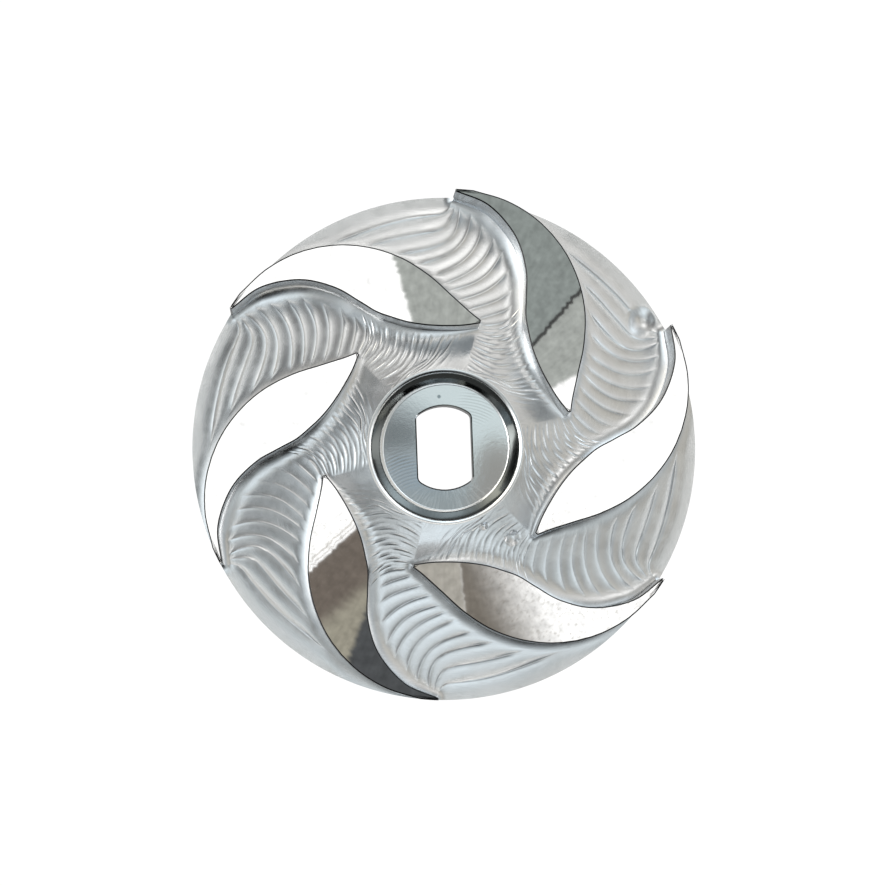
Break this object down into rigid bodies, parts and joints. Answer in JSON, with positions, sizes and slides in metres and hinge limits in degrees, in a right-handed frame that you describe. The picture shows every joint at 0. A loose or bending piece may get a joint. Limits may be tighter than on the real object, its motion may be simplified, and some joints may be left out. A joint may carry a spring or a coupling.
{
  "type": "water pump impeller",
  "caption": "Open radial water pump impeller milled from solid aluminium, with S-shaped swept vanes, a round nut seat and a double-D drive hole.",
  "frame": {"origin": "centre of the flat back face, on the shaft axis", "axes": "+Z along the shaft axis towards the vanes and the eye, +Y along the long axis of the double-D drive hole"},
  "size_m": [0.06, 0.06, 0.011],
  "materials": {
    "machined_aluminium": "bright milled aluminium: satin cutter marks in the channels, mirror-bright faced vane tops"
  },
  "bodies": {
    "root": {"impeller": "machined_aluminium"}
  },
  "joints": []
}
